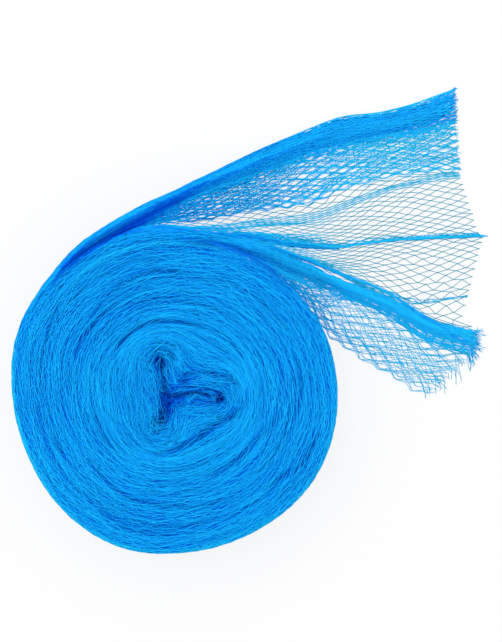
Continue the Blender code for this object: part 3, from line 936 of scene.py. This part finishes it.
def wound_layer(number, layer):
    """One layer of the net wound on the roll's top, as a spiral ribbon of strands."""
    seed = 30 + 10 * number
    read, rows = wound_line(layer.bar)
    column = np.arange(layer.strands + 1)[:, None]
    length = rows[None, :] + layer.bar * (SLANT * column + 0.5 * ripple(rows[None, :], 70, seed, column * 17))
    line = read(length)
    turn = line.turn
    across = -OVERLAP + (1 + 2 * OVERLAP) * column / layer.strands
    lane = (1 + 2 * OVERLAP) / layer.strands
    wave = LANE_WAVE * ripple(length, 170, seed + 1) + LANE_STRAY * ripple(length, 30, seed + 2, across * 60)
    gather = GATHER * ripple(length, 150, seed + 3, across * 210)
    across = across + lane * wave + gather
    across = np.where(turn < 1, np.maximum(across, -0.05), across)
    radius = ribbon_radius(turn, across)
    core = clamp(1 - (radius - SINK_ENDS) / CORE_RADIUS)
    stray = CORE_STRAY * core * ripple(length, 20, seed + 4, column * 37)
    inside = np.maximum(SINK_ENDS + 0.6 - radius, 0)
    offset = (0.5 - across) * line.thickness + inside + stray
    inset = np.where(turn < 1, RIM_INSET * clamp(1 - across / 0.3), 0)
    out = offset - inset
    plan = np.stack((line.x + line.outward_x * out, line.y + line.outward_y * out), axis=-1)
    sunken = crease_depth(plan)
    z = roll_top(turn, across, radius + stray) + layer.lift - pit_depth(plan)
    z = z + (1 - layer.follow) * FURROW_DEPTH * furrow(turn, across) - layer.follow * sunken
    z = z - INSIDE_DROP * inside
    z = z - FIRST_DIVE * clamp((rows[0] + FIRST_DIVE_LENGTH - length) / FIRST_DIVE_LENGTH)
    z = z + 0.45 * ripple(length, 24, seed + 5, across * 40)
    z = z + CORE_RISE * core * ripple(length, 17, seed + 6, column * 29)
    nodes = raised(plan, z)
    draws = np.random.default_rng(seed + 7)
    nodes += draws.normal(0, JITTER, nodes.shape)
    # The tint carries painted shade: darker at the bottom of the hollow and over its pits, in furrows and
    # creases, and along the valley and rim lines by the loose end. The patches and each strand's spread are
    # tone that differs at random.
    patches = 0.08 * ripple(length, 110, seed + 8, across * 90)
    sunk = 0.12 * clamp((SINK_STARTS - radius) / (SINK_STARTS - SINK_ENDS)) ** 2
    sunk = clamp(sunk + pit_depth(plan) / PIT_SHADE)
    tint = layer.tint + patches - 0.3 * furrow(turn, across) - SUNK_SHADE * layer.follow * sunk
    tint = tint - CREASE_SHADE * layer.follow * sunken - crease_depth(plan, DARK_LINES[:2], ends=0.8)
    # A painted highlight lightens the strands along the roll's edge
    at_edge = clamp(1 - (turn + across) / 1.1) * clamp(1 - across / 0.5)
    at_edge = at_edge * clamp(turn / 0.1)
    paths, tint, at_edge = strand_paths(nodes, tint, at_edge, start=number)
    tint = tint + 0.08 * draws.normal(size=(len(paths), 1))
    return Tubes(paths, EDGE_SINGLE * at_edge, tint + EDGE_HIGHLIGHT * at_edge)


STRAYS = 60
STRAY_SEED = 17
ARM_SHARES = (0.3, 0.45, 0.25)  # how many of them lie over each arm
STRAY_REACHES = (7, 15)  # half their lengths
STRAY_ANGLES = (20, 100)  # between a stray and its arm
STRAY_POINTS = 9
STRAY_DEPTH = 9  # how deep under the lip the lowest lie
STRAY_TINT = 0.50


def core_strays():
    """Single strands that lie across the hollow."""
    draws = np.random.default_rng(STRAY_SEED)
    paths = []
    for _ in range(STRAYS):
        arm = HOLLOW_ARMS[draws.choice(len(HOLLOW_ARMS), p=ARM_SHARES)]
        middle = np.array(polar(draws.uniform(0, arm.length + 3), arm.direction, HOLLOW_HUB))
        middle = middle + draws.normal(0, 3.0, 2)
        turn = math.radians(arm.direction + draws.choice((-1, 1)) * draws.uniform(*STRAY_ANGLES))
        reach = draws.uniform(*STRAY_REACHES)
        t = np.linspace(-1, 1, STRAY_POINTS)
        along = np.array((math.cos(turn), math.sin(turn)))
        bend = draws.normal(0, 4.0) * (1 - t * t) + draws.normal(0, 1.2, len(t))
        plan = middle + along * (reach * t)[:, None] + np.array((-along[1], along[0])) * bend[:, None]
        lip = ROLL_HEIGHT - LIP_DROP - 0.4 * SINK_DEPTH
        z = lip - draws.uniform(0, STRAY_DEPTH) + 3.0 * np.abs(t) ** 1.5
        paths.append(raised(plan, z))
    paths = np.array(paths)
    # Painted shade: strays over the pits are coloured darker
    sunk = clamp(pit_depth(paths[..., :2]) / PIT_SHADE)
    tint = STRAY_TINT + 0.15 * draws.normal(size=(STRAYS, 1)) - 0.6 * SUNK_SHADE * sunk
    return Tubes(paths, 0 * tint, tint)


WALL_STRANDS = 36
WALL_BAR = 11.5
WALL_RADIUS = 146  # the side's mean radius
WALL_WAVES = 920  # what a turn counts for in its waves, about its length
WALL_TURNS = (-0.02, 0.99)
WALL_LIFTS = (-1.2, -0.5)  # where its two layers lie, out from the part's wall
WALL_FOOT = 6.5  # how far strands are drawn in at the foot
WALL_SHOULDER, WALL_SHOULDER_RISE, WALL_DRAWN_IN = 98, 8, 5  # where, over what height and how far at the top
WALL_EARLY, WALL_EARLY_OVER = 0.04, 0.06  # how far the net runs on over the loose end's start, in turns
WALL_SWAY = 0.00525  # how far its rows lie askew, in turns
WALL_TINT = 0.9


def side_radius(direction):
    """The radius of the roll's side, or of the loose end where that lies over it."""
    x, y = loose_section(np.linspace(1, FIRST_PLACE, 40))[0].T
    loose = np.interp(direction, np.degrees(np.arctan2(y, x)), np.hypot(x, y), right=0)
    return np.maximum(roll_radius(direction), loose)


def wall_layer(layer, lift):
    """One layer of the net round the roll's side."""
    turn = np.arange(*WALL_TURNS, WALL_BAR / (2 * math.pi * WALL_RADIUS))[None, :]
    height = np.linspace(1, ROLL_HEIGHT - SHOULDER_DROP + 4, WALL_STRANDS + 1)[:, None]
    length = turn * WALL_WAVES
    early = WALL_EARLY * (0.5 + 0.5 * ripple(height, 30, 84 + layer))
    turn = turn - early * clamp(1 - (turn - WALL_TURNS[0]) / WALL_EARLY_OVER)
    turn = turn + WALL_SWAY * ripple(length, 60, 80 + layer, height * 3)
    height = np.maximum(height + 0.8 * ripple(length, 60, 81 + layer, height * 2), STRAND_RADIUS + 0.4)
    drawn = WALL_FOOT * clamp(1 - height / BOTTOM_ROUND) ** 2
    over = WALL_DRAWN_IN * clamp((height - WALL_SHOULDER) / WALL_SHOULDER_RISE) ** 2
    radius = side_radius(STEP_DIRECTION + 360 * turn) + lift - drawn - over
    spot = polar(radius, STEP_DIRECTION + 360 * turn + 0 * height)
    nodes = raised(spot, height)
    draws = np.random.default_rng(91 + layer)
    nodes[..., :2] += draws.normal(0, 0.15, nodes[..., :2].shape)
    paths, tint = strand_paths(nodes, WALL_TINT + 0 * height * turn, start=layer)
    tint = tint + 0.12 * draws.normal(size=(len(paths), 1))
    return Tubes(paths, 0 * tint, tint)


def make_wound_net(material):
    layers = [wound_layer(number, layer) for number, layer in enumerate(LAYERS)]
    wall = [wall_layer(i, lift) for i, lift in enumerate(WALL_LIFTS)]
    make_strands("wound_net_low", layers[:1], material)
    make_strands("wound_net_middle", layers[1:2], material)
    make_strands("wound_net_top", [*layers[2:], core_strays()], material)
    make_strands("wound_net_side", wall, material)


# ---------------------------------------------------------------- materials

# How light and how close together strands are decides their colour: packed ones are a full blue, a few on
# each other are lighter and greener, and single ones are a greyish teal.
# The deepest colour is painted shade: strands and packed netting are darkened towards it in the hollow and
# its pits, in creases, along the dark lines and at the loose end's feet
DEEP_SHADE = (0.0008, 0.038, 0.64, 1)
PACKED_DARK = (0.0006, 0.115, 0.65, 1)
PACKED_LIGHT = (0.0075, 0.46, 0.86, 1)
FEW = (0.0130, 0.40, 0.67, 1)
SINGLE = (0.0120, 0.24, 0.34, 1)
# The roll's body shows only between the strands: its blue is the netting's own, made darker as painted shade
# in those gaps, and its two colours make a grain
BODY_DARK = (0.0004, 0.09, 0.62, 1)
BODY_LIGHT = (0.0010, 0.18, 0.72, 1)
MASS_DARK = (0.0015, 0.25, 0.74, 1)
MASS_LIGHT = (0.0040, 0.37, 0.86, 1)


def mixed(tree, amount, first, second):
    """The output of a node that mixes two colours, each a constant or another node's output."""
    mix = tree.nodes.new("ShaderNodeMix")
    mix.data_type = "RGBA"
    tree.links.new(amount, mix.inputs["Factor"])
    for socket, value in ((mix.inputs[6], first), (mix.inputs[7], second)):
        if isinstance(value, tuple):
            socket.default_value = value
        else:
            tree.links.new(value, socket)
    return mix.outputs[2]


def attribute_value(tree, name):
    source = tree.nodes.new("ShaderNodeAttribute")
    source.attribute_name = name
    return source.outputs["Fac"]


def matt_material(name, roughness):
    """A material without gloss, with its nodes and shader."""
    material = bpy.data.materials.new(name)
    material.use_nodes = True
    shader = material.node_tree.nodes["Principled BSDF"]
    shader.inputs["Roughness"].default_value = roughness
    shader.inputs["Specular IOR Level"].default_value = 0.0
    return material, material.node_tree, shader


def strand_material():
    """The netting's plastic, coloured by the strands' tint and by how single they look."""
    material, tree, shader = matt_material("net_strand", 0.45)

    def read(attribute, low, high):
        value = attribute_value(tree, attribute)
        share = tree.nodes.new("ShaderNodeMapRange")
        tree.links.new(value, share.inputs["Value"])
        share.inputs["From Min"].default_value = low
        share.inputs["From Max"].default_value = high
        return share.outputs["Result"]

    deep = mixed(tree, read("tint", -1, 0), DEEP_SHADE, PACKED_DARK)
    packed = mixed(tree, read("tint", 0, 1), deep, PACKED_LIGHT)
    few = mixed(tree, read("openness", 0, 0.5), packed, FEW)
    colour = mixed(tree, read("openness", 0.5, 1), few, SINGLE)
    tree.links.new(colour, shader.inputs["Base Color"])
    return material


def packed_material(name, dark, light):
    """Netting packed so closely that its strands are only a fine grain."""
    material, tree, shader = matt_material(name, 0.7)
    noise = tree.nodes.new("ShaderNodeTexNoise")
    noise.inputs["Scale"].default_value = 220
    noise.inputs["Detail"].default_value = 4
    grain = mixed(tree, noise.outputs["Fac"], dark, light)
    # Painted shade: the sunk attribute darkens the grain towards the deep shade colour in the hollow, over
    # pits and towards the loose end's feet
    colour = mixed(tree, attribute_value(tree, "sunk"), grain, DEEP_SHADE)
    tree.links.new(colour, shader.inputs["Base Color"])
    bump = tree.nodes.new("ShaderNodeBump")
    bump.inputs["Strength"].default_value = 0.6
    bump.inputs["Distance"].default_value = 0.001
    tree.links.new(noise.outputs["Fac"], bump.inputs["Height"])
    tree.links.new(bump.outputs["Normal"], shader.inputs["Normal"])
    return material


def floor_material():
    material, _, shader = matt_material("floor_white", 0.9)
    shader.inputs["Base Color"].default_value = (0.12, 0.12, 0.12, 1)
    shader.inputs["Emission Color"].default_value = (1, 1, 1, 1)
    shader.inputs["Emission Strength"].default_value = 0.80
    return material


# ---------------------------------------------------------------- studio


def make_studio():
    size = 3000.0
    corners = np.array(((-size, -size, 0), (size, -size, 0), (size, size, 0), (-size, size, 0)))
    floor = make_mesh("floor", corners, (np.array([[0, 1, 2, 3]]),), {}, floor_material())

    world = bpy.data.worlds.new("studio")
    world.use_nodes = True
    background = world.node_tree.nodes["Background"]
    background.inputs["Color"].default_value = (1, 1, 1, 1)
    background.inputs["Strength"].default_value = 1.3
    bpy.context.scene.world = world

    lamp = bpy.data.lights.new("soft_overhead", "AREA")
    lamp.shape = "DISK"
    lamp.size = 1.6
    lamp.energy = 26
    light = place_in_scene("soft_overhead", lamp)
    light.location = (-0.3, 0.5, 2.2)
    light.rotation_euler = (-0.18, -0.16, 0)

    camera_data = bpy.data.cameras.new("camera")
    camera_data.lens = 106.25
    camera_data.sensor_width = 36
    camera = place_in_scene("camera", camera_data)
    camera.location = (0.0681, 0.0620, 1.8)
    bpy.context.scene.camera = camera
    bpy.context.scene.view_settings.view_transform = "Standard"


make_studio()
strand = strand_material()
packed_netting = packed_material("packed_loose_end", MASS_DARK, MASS_LIGHT)
make_roll_body(packed_material("packed_roll", BODY_DARK, BODY_LIGHT))
make_wound_net(strand)
make_loose_end(strand)
make_loose_mass("loose_mass_outer", OUTER_MASS, packed_netting)
make_loose_mass("loose_mass_inner", INNER_MASS, packed_netting)
make_loose_mass("loose_mass_rope", ROPE_MASS, packed_netting)
